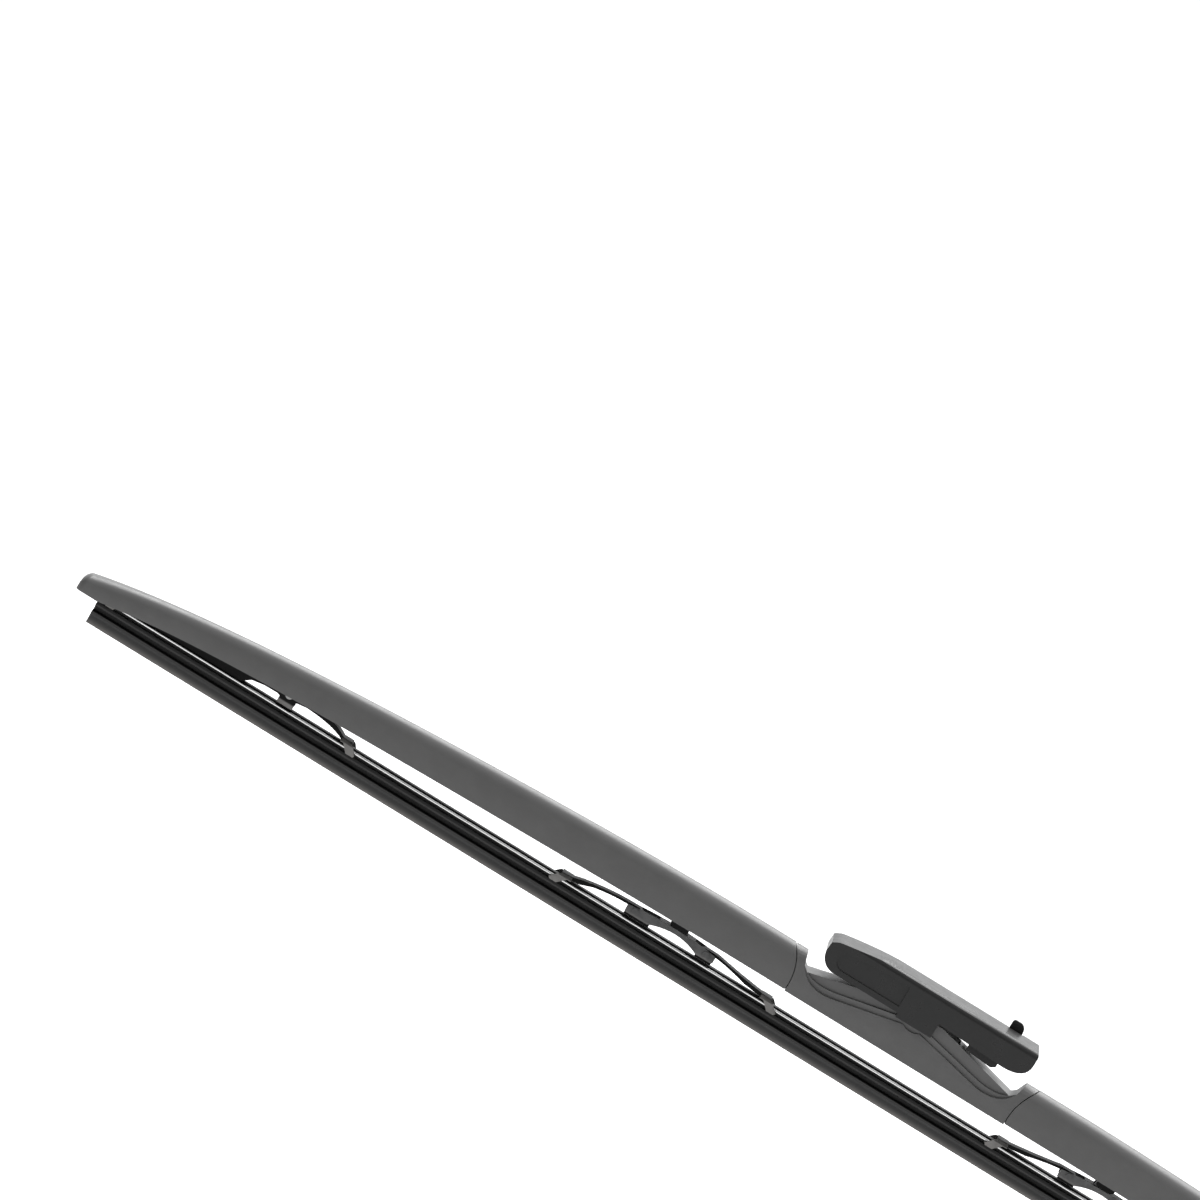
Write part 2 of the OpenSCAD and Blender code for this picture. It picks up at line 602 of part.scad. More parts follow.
module cover(side) half(side) color(grey) cover_shape();
module cover_clips(side) half(side) color(black) cover_clips_shape();
module carrier(side) half(side) color(black) carrier_shape();
module hinge_pin(side) half(side) color(steel) rivet(-hinge_x, hinge_z, rivet_r, 2 * flange[1], 0.5);
module outer_pin(side) half(side) color(steel) rivet(-yoke_x, yoke_z, rivet_r, 2 * flange[1], 0.5);
module mid_pin(side) half(side) color(steel) rivet(-lever_x, mid_z, rivet_r, 2 * flange[1], 0.5);
module washers(side) half(side) color("dimgray") washers_shape();
module outer_yoke(side) half(side) color(claw_grey) outer_yoke_shape();
module mid_lever(side) half(side) color(claw_grey) mid_lever_shape();
module lever_pins(side) half(side) color(steel)
  for (x = [lever_a, lever_b])
    rivet(-x, lever_z, lever_pin_r, 2 * fork[1], 0.35);
module mid_yoke_outer(side) half(side) color(claw_grey)
  translate([-lever_a, 0, 0]) mid_yoke_shape(25.4, 6.5, 0);
module mid_yoke_inner(side) half(side) color(claw_grey)
  translate([-lever_b, 0, 0]) mirror([1, 0, 0]) mid_yoke_shape(24.6, 3.2, 1.2);

module cover_left() cover(-1);
module cover_clips_left() cover_clips(-1);
module carrier_left() carrier(-1);
module hinge_pin_left() hinge_pin(-1);
module outer_pin_left() outer_pin(-1);
module mid_pin_left() mid_pin(-1);
module washers_left() washers(-1);
module outer_yoke_left() outer_yoke(-1);
module mid_lever_left() mid_lever(-1);
module lever_pins_left() lever_pins(-1);
module mid_yoke_outer_left() mid_yoke_outer(-1);
module mid_yoke_inner_left() mid_yoke_inner(-1);

module cover_right() cover(1);
module cover_clips_right() cover_clips(1);
module carrier_right() carrier(1);
module hinge_pin_right() hinge_pin(1);
module outer_pin_right() outer_pin(1);
module mid_pin_right() mid_pin(1);
module washers_right() washers(1);
module outer_yoke_right() outer_yoke(1);
module mid_lever_right() mid_lever(1);
module lever_pins_right() lever_pins(1);
module mid_yoke_outer_right() mid_yoke_outer(1);
module mid_yoke_inner_right() mid_yoke_inner(1);

adapter_base();
cap_hinge_pin();
adapter_cap();
release_tab();
bridge();
pivot_pin();
rubber_blade();
flexor_front();
flexor_back();
cover_left();
cover_clips_left();
carrier_left();
hinge_pin_left();
outer_pin_left();
mid_pin_left();
washers_left();
outer_yoke_left();
mid_lever_left();
lever_pins_left();
mid_yoke_outer_left();
mid_yoke_inner_left();
cover_right();
cover_clips_right();
carrier_right();
hinge_pin_right();
outer_pin_right();
mid_pin_right();
washers_right();
outer_yoke_right();
mid_lever_right();
lever_pins_right();
mid_yoke_outer_right();
mid_yoke_inner_right();
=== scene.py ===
"""Windshield wiper blade: finished pieces, materials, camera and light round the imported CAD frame."""
import json
import math

import bmesh
import bpy
from mathutils import Matrix, Vector
from mathutils.bvhtree import BVHTree


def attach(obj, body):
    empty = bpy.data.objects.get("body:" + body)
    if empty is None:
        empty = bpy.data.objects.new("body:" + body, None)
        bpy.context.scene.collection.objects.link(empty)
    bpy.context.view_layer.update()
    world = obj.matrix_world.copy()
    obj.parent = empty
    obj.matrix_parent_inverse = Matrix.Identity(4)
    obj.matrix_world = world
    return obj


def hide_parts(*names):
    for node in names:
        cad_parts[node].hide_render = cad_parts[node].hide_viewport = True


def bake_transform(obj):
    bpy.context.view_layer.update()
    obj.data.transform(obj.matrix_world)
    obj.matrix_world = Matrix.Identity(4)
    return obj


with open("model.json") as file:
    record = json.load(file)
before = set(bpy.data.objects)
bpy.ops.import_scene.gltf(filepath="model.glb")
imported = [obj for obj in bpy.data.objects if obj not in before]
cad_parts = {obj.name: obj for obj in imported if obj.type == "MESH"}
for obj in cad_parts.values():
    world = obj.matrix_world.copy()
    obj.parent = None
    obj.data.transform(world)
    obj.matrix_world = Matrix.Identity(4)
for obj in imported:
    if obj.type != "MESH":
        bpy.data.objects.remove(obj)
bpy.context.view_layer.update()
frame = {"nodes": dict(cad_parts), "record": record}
nodes = frame["nodes"]

MM = 0.001
LIP_Z = -33.3 * MM            # height of the wiping lip; the origin is the arm pivot
SIDES = {"left": -1, "right": 1}


# ---------------------------------------------------------------- camera ----

CAM_AZIMUTH = 0.34            # degrees, matched to the photograph
CAM_ELEVATION = 8.16
CAM_ROLL = 31.53
CAM_DISTANCE = 2.6            # metres
SENSOR_WIDTH = 36.0           # millimetres
CLIP_START = 0.05
CLIP_END = 100.0
VIEW_WIDTH = 0.3996           # metres across the picture at the blade
AIM_ALONG = -0.1626           # picture centre, along the blade and up from the pivot
AIM_UP = 0.0626


def make_camera():
    azimuth, elevation, roll = (math.radians(a) for a in (-CAM_AZIMUTH, CAM_ELEVATION, CAM_ROLL))
    back = Vector((math.sin(azimuth) * math.cos(elevation),
                   -math.cos(azimuth) * math.cos(elevation), math.sin(elevation)))
    right = Vector((math.cos(azimuth), math.sin(azimuth), 0.0))
    up = back.cross(right)
    aim = right * AIM_ALONG + up * AIM_UP
    data = bpy.data.cameras.new("camera")
    data.sensor_width = SENSOR_WIDTH
    data.lens = data.sensor_width * CAM_DISTANCE / VIEW_WIDTH
    data.clip_start = CLIP_START
    data.clip_end = CLIP_END
    camera = bpy.data.objects.new("camera", data)
    bpy.context.scene.collection.objects.link(camera)
    across = right * math.cos(roll) + up * math.sin(roll)
    upright = up * math.cos(roll) - right * math.sin(roll)
    camera.matrix_world = Matrix((across, upright, back)).transposed().to_4x4()
    camera.location = aim + back * CAM_DISTANCE
    bpy.context.scene.camera = camera


make_camera()


# -------------------------------------------------------- material helpers ----

COLOUR_A, COLOUR_B = 6, 7     # a mix node's colour sockets; its names repeat for each data type
COLOUR_OUT = 2


class Shader:
    """A new material with short ways to add and join nodes."""

    def __init__(self, name):
        self.material = bpy.data.materials.new(name)
        self.material.use_nodes = True
        self.tree = self.material.node_tree
        self.surface = self.tree.nodes["Principled BSDF"]
        self.place = self.add("ShaderNodeTexCoord").outputs["Object"]

    def add(self, kind, **settings):
        node = self.tree.nodes.new(kind)
        for key, value in settings.items():
            setattr(node, key, value)
        return node

    def put(self, value, socket):
        """Joins an output to a socket, or sets it to a number or a colour of three numbers."""
        if isinstance(value, bpy.types.NodeSocket):
            self.tree.links.new(value, socket)
        elif isinstance(value, tuple):
            socket.default_value = (*value, 1.0)
        else:
            socket.default_value = value

    def stretch(self, x, y, z):
        node = self.add("ShaderNodeMapping")
        self.put(self.place, node.inputs["Vector"])
        node.inputs["Scale"].default_value = (x, y, z)
        return node.outputs["Vector"]

    def noise(self, size, detail, rough=0.55, where=None):
        node = self.add("ShaderNodeTexNoise")
        self.put(where or self.place, node.inputs["Vector"])
        node.inputs["Scale"].default_value = 1.0 / size
        node.inputs["Detail"].default_value = detail
        node.inputs["Roughness"].default_value = rough
        return node.outputs["Fac"]

    def cells(self, size):
        node = self.add("ShaderNodeTexVoronoi")
        self.put(self.place, node.inputs["Vector"])
        node.inputs["Scale"].default_value = 1.0 / size
        return node.outputs["Distance"]

    def axis(self, name):
        node = self.add("ShaderNodeSeparateXYZ")
        self.put(self.place, node.inputs[0])
        return node.outputs[name]

    def maths(self, operation, a, b=0.0):
        node = self.add("ShaderNodeMath", operation=operation)
        self.put(a, node.inputs[0])
        self.put(b, node.inputs[1])
        return node.outputs[0]

    def ramp(self, value, low, high, out_low=0.0, out_high=1.0):
        node = self.add("ShaderNodeMapRange")
        self.put(value, node.inputs["Value"])
        self.put(low, node.inputs["From Min"])
        self.put(high, node.inputs["From Max"])
        self.put(out_low, node.inputs["To Min"])
        self.put(out_high, node.inputs["To Max"])
        return node.outputs["Result"]

    def mix(self, amount, a, b):
        node = self.add("ShaderNodeMix", data_type="RGBA")
        self.put(amount, node.inputs["Factor"])
        self.put(a, node.inputs[COLOUR_A])
        self.put(b, node.inputs[COLOUR_B])
        return node.outputs[COLOUR_OUT]

    def bump(self, height, distance, strength):
        node = self.add("ShaderNodeBump")
        self.put(height, node.inputs["Height"])
        node.inputs["Distance"].default_value = distance
        node.inputs["Strength"].default_value = strength
        return node.outputs["Normal"]

    def rounded_edge(self):
        """1 on the rounded edges of a piece, 0 on its faces."""
        return self.add("ShaderNodeAttribute", attribute_name="rounded_edge").outputs["Fac"]

    def finish(self, colour, rough, normal, metallic=0.0, shine=0.5):
        self.put(colour, self.surface.inputs["Base Color"])
        self.put(rough, self.surface.inputs["Roughness"])
        self.put(normal, self.surface.inputs["Normal"])
        self.surface.inputs["Metallic"].default_value = metallic
        self.surface.inputs["Specular IOR Level"].default_value = shine
        return self.material


def grey(value, warm=0.0):
    return (value * (1 + warm), value, value * (1 - warm))


# ---------------------------------------------------------------- materials ----

PLASTIC_WARMTH = 0.01
GRAIN_DEPTH = 0.012 * MM


def moulded_plastic(name, value, rough, grain=0.35 * MM, edge_wear_and_highlight=2.0, shine=0.4):
    """Moulded plastic with a spark-eroded grain, faint flow marks, lighter patches, and edges lightened
    both as worn plastic and as a painted highlight.
    """
    s = Shader(name)
    flow = s.noise(26 * MM, 2.0, where=s.stretch(0.35, 1, 1))
    patches = s.noise(5 * MM, 4.0, 0.6)
    pits = s.cells(grain)
    fine = s.noise(grain * 0.6, 2.0)
    tone = s.mix(flow, grey(value * 0.9, PLASTIC_WARMTH), grey(value * 1.08, PLASTIC_WARMTH))
    tone = s.mix(s.ramp(patches, 0.45, 0.75, 0.0, 0.2), tone, grey(value * 1.25, PLASTIC_WARMTH))
    # Rounded edges are lightened where the patches allow: worn plastic and a painted highlight along the
    # edges.
    edge_lightening = s.maths("MULTIPLY", s.rounded_edge(), s.ramp(patches, 0.35, 0.65, 0.2, 0.9))
    tone = s.mix(edge_lightening, tone, grey(min(1.0, value * edge_wear_and_highlight), PLASTIC_WARMTH))
    gloss = s.ramp(patches, 0.3, 0.7, rough - 0.05, rough + 0.06)
    height = s.maths("ADD", s.maths("MULTIPLY", pits, 0.7), s.maths("MULTIPLY", fine, 0.5))
    return s.finish(tone, gloss, s.bump(height, GRAIN_DEPTH, 0.5), 0.0, shine)


STEEL_ROUGH = 0.42
CLAW_OUT = (3.3 * MM, 3.7 * MM)              # a claw's tip, painted lighter as a painted highlight, lies this far from the middle,
CLAW_TOP = (13.2 * MM, 12.6 * MM)            # and below this height above the lip


def coated_steel(name, value, bright, shine=0.25):
    """Coated stamping: orange peel, a thin coat on the edges, and claw tips painted a lighter grey as a
    painted highlight.
    """
    s = Shader(name)
    peel = s.noise(0.9 * MM, 2.0)
    speck = s.noise(0.25 * MM, 3.0)
    patches = s.noise(4 * MM, 4.0, 0.6)
    across = s.maths("ABSOLUTE", s.axis("Y"))
    tip = s.ramp(across, *CLAW_OUT)
    below = s.ramp(s.axis("Z"), *(LIP_Z + height for height in CLAW_TOP))
    claw = s.maths("MULTIPLY", tip, below)
    claw = s.maths("MULTIPLY", claw, s.ramp(patches, 0.3, 0.55, 0.75, 1.0))
    tone = s.mix(s.ramp(patches, 0.35, 0.7), grey(value * 0.8), grey(value * 1.3))
    # Claw tips are painted a lighter grey: a painted highlight where their flat plates face the light.
    tone = s.mix(claw, tone, grey(bright, 0.03))
    edge_lightening = s.maths("MULTIPLY", s.rounded_edge(), s.ramp(speck, 0.4, 0.6, 0.0, 0.3))
    tone = s.mix(edge_lightening, tone, grey(value + bright * 0.4))
    gloss = s.ramp(speck, 0.3, 0.7, STEEL_ROUGH - 0.06, STEEL_ROUGH + 0.08)
    height = s.maths("ADD", peel, s.maths("MULTIPLY", speck, 0.3))
    return s.finish(tone, gloss, s.bump(height, 0.02 * MM, 0.5), 0.0, shine)


def bare_metal(name, value, rough, brushed):
    """Bright metal: rolling or turning marks along X, faint stains and edges painted bright as a painted
    highlight.
    """
    s = Shader(name)
    lines = s.noise(0.12 * MM, 3.0, where=s.stretch(1 / brushed, 1, 1))
    stains = s.noise(6 * MM, 4.0, 0.65)
    tone = s.mix(stains, grey(value * 0.85, 0.01), grey(value * 1.08, 0.0))
    # Rounded edges are painted brighter: a painted highlight.
    tone = s.mix(s.rounded_edge(), tone, grey(min(0.95, value * 1.2)))
    drawn = s.ramp(lines, 0.3, 0.7, rough - 0.07, rough + 0.07)
    gloss = s.maths("ADD", drawn, s.ramp(stains, 0.4, 0.8, 0.0, 0.08))
    return s.finish(tone, gloss, s.bump(lines, 0.008 * MM, 0.5), 1.0)


RIB_HIGHLIGHT_HEIGHTS = (4.55, 7.4)     # painted highlights on two edges of the strip, in millimetres above its lip
RIB_HIGHLIGHT_FADE = (0.28 * MM, 0.1 * MM)             # the painted highlight fades in between these distances
WEDGE_LIGHT_EDGE = (3.4 * MM, 0.6 * MM)            # the wedge's painted light from below grows from the first height to the second


def wiper_rubber():
    """Extruded rubber: mottled bloom, the wedge painted lighter as painted light from below, drawn lines
    along the length, painted highlights on two rib edges.
    """
    s = Shader("wiping_rubber")
    height_above_lip = s.maths("SUBTRACT", s.axis("Z"), LIP_Z)
    drawn = s.noise(0.35 * MM, 3.0, where=s.stretch(0.02, 1, 1))
    bloom = s.noise(7 * MM, 5.0, 0.65, where=s.stretch(0.4, 1, 1))
    fine = s.noise(0.12 * MM, 2.0)
    # The wedge is painted lighter towards the lip: painted light from below.
    wedge = s.ramp(height_above_lip, *WEDGE_LIGHT_EDGE)
    wedge = s.maths("MULTIPLY", s.maths("POWER", wedge, 3.0), s.ramp(bloom, 0.25, 0.6, 0.75, 1.0))
    tone = s.mix(bloom, grey(0.003), grey(0.007))
    tone = s.mix(wedge, tone, grey(0.10, 0.05))
    # Two thin lighter lines along the rib edges: painted highlights.
    for rib in RIB_HIGHLIGHT_HEIGHTS:
        off = s.maths("ABSOLUTE", s.maths("SUBTRACT", height_above_lip, rib * MM))
        tone = s.mix(s.ramp(off, *RIB_HIGHLIGHT_FADE, 0.0, 0.8), tone, grey(0.03, 0.03))
    gloss = s.ramp(bloom, 0.3, 0.7, 0.42, 0.55)
    height = s.maths("ADD", s.maths("MULTIPLY", drawn, 0.8), s.maths("MULTIPLY", fine, 0.3))
    return s.finish(tone, gloss, s.bump(height, 0.012 * MM, 0.5), 0.0, 0.25)


MATERIALS = {
    "cover_plastic": moulded_plastic("cover_plastic", 0.088, rough=0.34),
    # the cap's edges are lightened most: worn plastic and a painted highlight on its edges and recess
    "cap_plastic": moulded_plastic("cap_plastic", 0.012, grain=0.3 * MM, rough=0.3, edge_wear_and_highlight=7.0,
                                   shine=0.3),
    "adapter_plastic": moulded_plastic("adapter_plastic", 0.010, rough=0.45, shine=0.25),
    "washer_plastic": moulded_plastic("washer_plastic", 0.03, grain=0.2 * MM, rough=0.4),
    "black_steel": coated_steel("black_steel", 0.003, 0.17, shine=0.1),
    # lever_steel is the same black coating painted a lighter grey: a painted highlight for the lever's lit
    # side faces.
    "lever_steel": coated_steel("lever_steel", 0.075, 0.15),
    "zinc_steel": bare_metal("zinc_steel", 0.30, 0.38, 2.0),
    "stainless": bare_metal("stainless", 0.66, 0.24, 60.0),
    "wiping_rubber": wiper_rubber(),
}


def dress(piece, slot):
    piece.data.materials.clear()
    piece.data.materials.append(MATERIALS[slot])


slots = {part["node"]: part["material_slot"] for part in frame["record"]["subparts"]}
for node, slot in slots.items():
    dress(nodes[node], slot)


# ------------------------------------------------------------------ pieces ----

def new_piece(name, mesh, slot):
    piece = bpy.data.objects.new(name, mesh)
    bpy.context.scene.collection.objects.link(piece)
    dress(piece, slot)
    return piece


SHARP_ANGLE = 50.0            # edges steeper than this are rounded
FOLD_LIMIT = 0.5 * MM * MM    # with more folded area, the tightest spot limits a piece's rounding
THROWN = 0.6                  # distance off the surface, in rounding widths, of a thrown corner
ON_SURFACE = 0.1              # and of a face that still lies on the surface
REVERSED = -0.5               # a folded face's normal, dotted with the surface's, is below this
SIDE_FACE = 0.8               # faces that point this much along Y are flat sides
BENT = 0.1                    # radians; edges flatter than this leave the rounding all its room
ALONGSIDE = 0.7               # so do edges that run on in the same direction by this much
ROOM_SHARE = 0.4              # of the length of an edge that the rounding may use up
WELD = 0.002 * MM
FLAT_ANGLE = 1.0              # degrees; faces closer to one plane than this are merged


def room_for_rounding(edge, widest):
    """Widest rounding that fits at this edge: limited by the short edges that meet it at an angle."""
    room = widest
    for vert in edge.verts:
        along = (edge.other_vert(vert).co - vert.co).normalized()
        for other in vert.link_edges:
            if other is edge:
                continue
            away = other.other_vert(vert).co - vert.co
            if other.calc_face_angle(0.0) > BENT and abs(away.normalized().dot(along)) < ALONGSIDE:
                room = min(room, ROOM_SHARE * away.length)
    return room


def evaluated(holder, name):
    mesh = bpy.data.meshes.new_from_object(holder.evaluated_get(bpy.context.evaluated_depsgraph_get()))
    mesh.name = name
    return mesh


def rounding_spoils(mesh, source, width):
    """True if the rounding threw a corner off the surface, or folded more than a sliver of it."""
    faces = [tuple(face.vertices) for face in source.polygons]
    surface = BVHTree.FromPolygons([vertex.co for vertex in source.vertices], faces)
    folded = 0.0
    for face in mesh.polygons:
        _, normal, _, distance = surface.find_nearest(face.center)
        if distance < ON_SURFACE * width and normal.dot(face.normal) < REVERSED:
            folded += face.area
    thrown = any(surface.find_nearest(corner.co)[3] > THROWN * width for corner in mesh.vertices)
    return thrown or folded > FOLD_LIMIT


def rounded_mesh(source, name, width, merge_flat=True):
    """A copy of a mesh with its sharp edges rounded; "wear" is 1 on the rounded faces."""
    bm = bmesh.new()
    bm.from_mesh(source)
    bmesh.ops.remove_doubles(bm, verts=bm.verts, dist=WELD)
    if merge_flat:
        flat = math.radians(FLAT_ANGLE)
        bmesh.ops.dissolve_limit(bm, angle_limit=flat, verts=bm.verts, edges=bm.edges)
        bmesh.ops.triangulate(bm, faces=bm.faces[:], quad_method="BEAUTY", ngon_method="BEAUTY")
    weights = bm.edges.layers.float.new("bevel_weight_edge")
    for edge in bm.edges:
        if edge.is_manifold and edge.calc_face_angle(0.0) > math.radians(SHARP_ANGLE):
            edge[weights] = max(0.0, room_for_rounding(edge, width) / width)
    mesh = bpy.data.meshes.new(name)
    bm.to_mesh(mesh)
    bm.free()
    mesh.materials.clear()
    mesh.materials.append(None)
    mesh.materials.append(None)
    for face in mesh.polygons:
        face.material_index = 0
        face.use_smooth = True
    holder = bpy.data.objects.new("rounding", mesh)
    bpy.context.scene.collection.objects.link(holder)
    bevel = holder.modifiers.new("bevel", "BEVEL")
    bevel.limit_method = "WEIGHT"
    bevel.width = width
    bevel.segments = 2
    bevel.use_clamp_overlap = False
    bevel.material = 1
    rounded = evaluated(holder, name)
    if rounding_spoils(rounded, source, width):
        bevel.use_clamp_overlap = True
        rounded = evaluated(holder, name)
    holder.data = rounded
    holder.data.set_sharp_from_angle(angle=math.radians(SHARP_ANGLE))
    if merge_flat:
        for face in holder.data.polygons:
            face.use_smooth = face.material_index == 1 or abs(face.normal.y) < SIDE_FACE
    holder.modifiers.clear()
    normals = holder.modifiers.new("normals", "WEIGHTED_NORMAL")
    normals.keep_sharp = True
    result = evaluated(holder, name)
    bpy.data.objects.remove(holder)
    rounded_edge = result.attributes.new("rounded_edge", "FLOAT", "FACE")
    rounded_edge.data.foreach_set("value", [float(face.material_index) for face in result.polygons])
    for face in result.polygons:
        face.material_index = 0
    return result


def round_node(node, slot, body, width):
    """Replaces a CAD node by a copy with rounded edges."""
    mesh = nodes[node].data.copy()
    mesh.transform(nodes[node].matrix_world)
    piece = new_piece(node + "_shape", rounded_mesh(mesh, node + "_shape", width), slot)
    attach(piece, body)
    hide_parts(node)


# Covers: the same section as the CAD, with more stations and points ----------
# Lengths here and for the strip are in millimetres; heights are above the lip.

RIDGE_Z = 33.7
RIDGE_START = 65.0            # the ridge, the hem and the width begin to fall at these places
HEM_START = 70.0
TAPER_START = 105.0
HEM_Z = 18.9
COVER_HALF = 9.0
TIP_HALF = 7.0
SKIN = 1.5
TIP_X = 313.3
TIP_ROUND = 2.6
COVER_START = 50.0
COVER_STATIONS = 96
HOLLOW_TIP_RINGS = 3          # of the nose's ten rings; past them the nose is solid
HINGE = (62.0, 20.9)          # along the blade and above the lip
SEAM_R = 19.2                 # the seam with the bridge is an arc round the hinge
STRIP_END = 305.0
CROWN = 4.0                   # height over which the face turns into the ridge,
CROWN_SHARE = 0.35            # and the most that may be of the cover's own height
FACE_LEAN = 1.2               # the face leans in by this over a height of LEAN_HEIGHT
LEAN_HEIGHT = 15.5
FACE_BULGE = 0.12
BACK_BULGE = 0.06
RIDGE_SHIFT = -0.26           # the ridge's place across the blade, in half widths


def lerp(a, b, t):
    return a + (b - a) * t


def fall(s, start, most=1.0):
    """0 to 1 between a place and the strip's end, and on to most beyond it."""
    return max(0.0, min(most, (s - start) / (STRIP_END - start)))


def nose(s):
    past = s - (TIP_X - TIP_ROUND)
    return 0.0 if past < 0 else TIP_ROUND - math.sqrt(max(0.0, TIP_ROUND ** 2 - past * past))


def ridge_at(s):
    t = fall(s, RIDGE_START, 1.1)
    return RIDGE_Z - 13 * t ** 1.65 - 4.2 * t ** 7 - nose(s)


def hem_at(s):
    t = fall(s, HEM_START)
    return HEM_Z - 5 * t ** 1.4 - 4.85 * t ** 7


def bezier(points, count):
    result = []
    for i in range(count + 1):
        row, t = [Vector(p) for p in points], i / count
        while len(row) > 1:
            row = [a.lerp(b, t) for a, b in zip(row, row[1:])]
        result.append(row[0])
    return result


def section(w, hem, top, taper):
    """Cross-section of a cover as (y, z) points, from the front hem over the ridge to the back hem."""
    h = top - hem
    crown = min(CROWN, CROWN_SHARE * h)
    lean = FACE_LEAN * h / LEAN_HEIGHT
    ridge_y = RIDGE_SHIFT * w
    back_z = hem + lerp(0.36, 0.62, taper) * h
    span = w - ridge_y
    slope_1 = (ridge_y + lerp(0.26, 0.5, taper) * span, top)
    slope_2 = (ridge_y + lerp(0.34, 1.0, taper) * span, lerp(back_z + 0.12 * (top - back_z), top, taper))
    face = [Vector((-w + lean * t - 4 * FACE_BULGE * t * (1 - t), hem + (h - crown) * t))
            for t in (i / 8 for i in range(8))]
    crown_points = bezier([(-w + lean, top - crown), (-w + lean + 0.9, top - 0.3), (ridge_y, top)], 14)
    slope = bezier([(ridge_y, top), slope_1, slope_2, (w, back_z)], 20)[1:]
    back = [Vector((w + 4 * BACK_BULGE * t * (1 - t), lerp(back_z, hem, t)))
            for t in (i / 5 for i in range(1, 6))]
    return face + crown_points + slope + back


def taper_at(s):
    return fall(s, TAPER_START) ** 2


def half_at(s):
    return lerp(COVER_HALF, TIP_HALF, taper_at(s)) - 0.8 * nose(s)


def cover_ring(s, inset, at_seam):
    ring = []
    for y, z in section(half_at(s) - inset, hem_at(s) - inset, ridge_at(s) - inset, taper_at(s)):
        z = max(z, hem_at(s))
        x = HINGE[0] - math.sqrt(SEAM_R ** 2 - (z - HINGE[1]) ** 2) if at_seam else s
        ring.append(Vector((x, y, z)) * MM)
    return ring


def cover_mesh(sign, name):
    """Hollow cover from the seam to the nose; the last 1.4 mm of the nose are solid."""
    tip_start = TIP_X - TIP_ROUND
    body = [COVER_START + i * (tip_start - COVER_START) / COVER_STATIONS for i in range(COVER_STATIONS + 1)]
    tip = [tip_start + TIP_ROUND * math.sin(math.radians(a)) for a in range(9, 91, 9)]
    bm = bmesh.new()

    def add_rings(stations, inset):
        rings = [cover_ring(s, inset, i == 0) for i, s in enumerate(stations)]
        return [[bm.verts.new((sign * p.x, p.y, p.z + LIP_Z)) for p in ring] for ring in rings]

    outer = add_rings(body + tip, 0.0)
    inner = add_rings(body + tip[:HOLLOW_TIP_RINGS], SKIN)
    n, end = len(outer[0]), len(inner)
    for rings in (outer, inner):
        for a, b in zip(rings, rings[1:]):
            for k in range(n - 1):
                bm.faces.new((a[k], b[k], b[k + 1], a[k + 1]))
    for i in range(end - 1):
        for k in (0, n - 1):
            bm.faces.new((outer[i][k], outer[i + 1][k], inner[i + 1][k], inner[i][k]))
    for k in range(n - 1):
        bm.faces.new((outer[0][k], outer[0][k + 1], inner[0][k + 1], inner[0][k]))
    bm.faces.new(outer[-1])
    bm.faces.new(inner[-1])
    bm.faces.new([inner[-1][0], inner[-1][-1]] + [ring[-1] for ring in outer[end - 1:]]
                 + [ring[0] for ring in reversed(outer[end - 1:])])
    bmesh.ops.recalc_face_normals(bm, faces=bm.faces)
    mesh = bpy.data.meshes.new(name)
    bm.to_mesh(mesh)
    bm.free()
    return mesh


# Wiping strip ----------------------------------------------------------------

SLOT_Z = 9.8
FLEXOR_T = 0.6
FLEXOR_NEAR = 1.05            # a flexor's edges, from the middle of the strip
FLEXOR_FAR = 4.0
FLEXOR_END = STRIP_END - 1
RUBBER_FILLET = 0.14
FLEXOR_FILLET = 0.2
STRIP_SHARP_ANGLE = 40.0      # edges steeper than this are shaded sharp
FLEXOR_Z = SLOT_Z + 0.05      # underside of the flexors
STATION = 5.0                 # length between two cross-sections of a strip
RUBBER_HALF = ((0.35, 0), (0.5, 1.1), (1.5, 3.2), (2.5, 4.2), (2.6, 4.9), (0.6, 5.3), (0.6, 6.5),
               (2.8, 6.8), (3.3, 7.2), (3.3, 8.5), (2.5, 8.8), (2.5, 9), (3.2, 9.3), (3.2, SLOT_Z),
               (1, SLOT_Z), (1, SLOT_Z + 0.7), (1.8, SLOT_Z + 0.7), (1.8, 10.75), (1.6, 10.95))


def filleted(points, radius):
    """Closed (y, z) outline with every corner rounded by a three-point fillet."""
    points = [Vector(p) for p in points]
    result = []
    for before, corner, after in zip(points[-1:] + points[:-1], points, points[1:] + points[:1]):
        back, on = before - corner, after - corner
        cut = min(radius, 0.3 * back.length, 0.3 * on.length)
        a, b = corner + back.normalized() * cut, corner + on.normalized() * cut
        result += [a, (a + b + 2 * corner) / 4, b]
    return result


def strip_mesh(outline, x0, x1, name):
    """A bar with this (y, z) outline in millimetres, cut into short stations along X."""
    count = max(2, round(abs(x1 - x0) / STATION))
    bm = bmesh.new()
    rings = []
    for i in range(count + 1):
        x = lerp(x0, x1, i / count)
        rings.append([bm.verts.new((x * MM, y * MM, z * MM + LIP_Z)) for y, z in outline])
    n = len(outline)
    for a, b in zip(rings, rings[1:]):
        for k in range(n):
            bm.faces.new((a[k], b[k], b[(k + 1) % n], a[(k + 1) % n]))
    bm.faces.new(rings[0])
    bm.faces.new(rings[-1])
    bmesh.ops.recalc_face_normals(bm, faces=bm.faces)
    mesh = bpy.data.meshes.new(name)
    bm.to_mesh(mesh)
    bm.free()
    for face in mesh.polygons:
        face.use_smooth = True
    mesh.set_sharp_from_angle(angle=math.radians(STRIP_SHARP_ANGLE))
    return mesh


def flexor_outline(y0, y1):
    z0, z1 = FLEXOR_Z, FLEXOR_Z + FLEXOR_T
    return filleted([(y0, z0), (y1, z0), (y1, z1), (y0, z1)], FLEXOR_FILLET)


